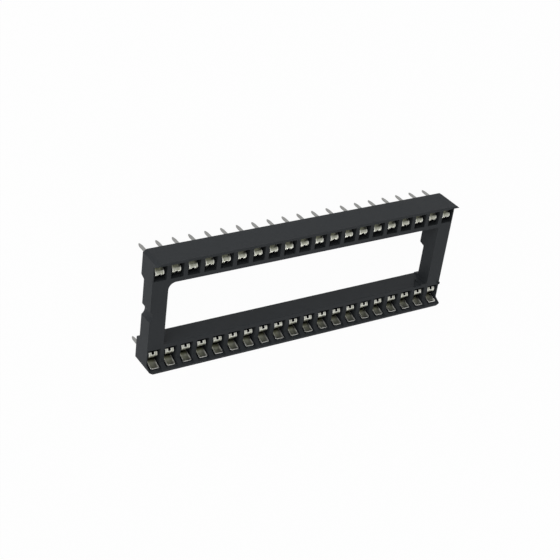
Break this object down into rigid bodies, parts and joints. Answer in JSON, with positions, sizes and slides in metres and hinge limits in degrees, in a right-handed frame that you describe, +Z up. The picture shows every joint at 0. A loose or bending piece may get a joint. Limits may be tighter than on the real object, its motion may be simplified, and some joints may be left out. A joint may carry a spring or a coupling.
{
  "type": "dip ic socket",
  "caption": "Open-frame socket for a wide dual in-line chip: a black moulded frame with two rows of dual leaf contacts and solder tails.",
  "frame": {"origin": "centre of the tail grid on the board plane, which is the flat underside of the two rails", "axes": "+X along the rows, away from the end with the polarity groove; +Y across the rows; +Z up, from the board to the chip"},
  "size_m": [0.0504, 0.0176, 0.0078],
  "materials": {
    "black_plastic": "moulded, fine satin",
    "tinned_contact": "tin plated, satin"
  },
  "bodies": {
    "root": {"body": "black_plastic", "contact_01": "tinned_contact", "contact_02": "tinned_contact", "contact_03": "tinned_contact", "contact_04": "tinned_contact", "contact_05": "tinned_contact", "contact_06": "tinned_contact", "contact_07": "tinned_contact", "contact_08": "tinned_contact", "contact_09": "tinned_contact", "contact_10": "tinned_contact", "contact_11": "tinned_contact", "contact_12": "tinned_contact", "contact_13": "tinned_contact", "contact_14": "tinned_contact", "contact_15": "tinned_contact", "contact_16": "tinned_contact", "contact_17": "tinned_contact", "contact_18": "tinned_contact", "contact_19": "tinned_contact", "contact_20": "tinned_contact", "contact_21": "tinned_contact", "contact_22": "tinned_contact", "contact_23": "tinned_contact", "contact_24": "tinned_contact", "contact_25": "tinned_contact", "contact_26": "tinned_contact", "contact_27": "tinned_contact", "contact_28": "tinned_contact", "contact_29": "tinned_contact", "contact_30": "tinned_contact", "contact_31": "tinned_contact", "contact_32": "tinned_contact", "contact_33": "tinned_contact", "contact_34": "tinned_contact", "contact_35": "tinned_contact", "contact_36": "tinned_contact", "contact_37": "tinned_contact", "contact_38": "tinned_contact", "contact_39": "tinned_contact", "contact_40": "tinned_contact"}
  },
  "joints": []
}
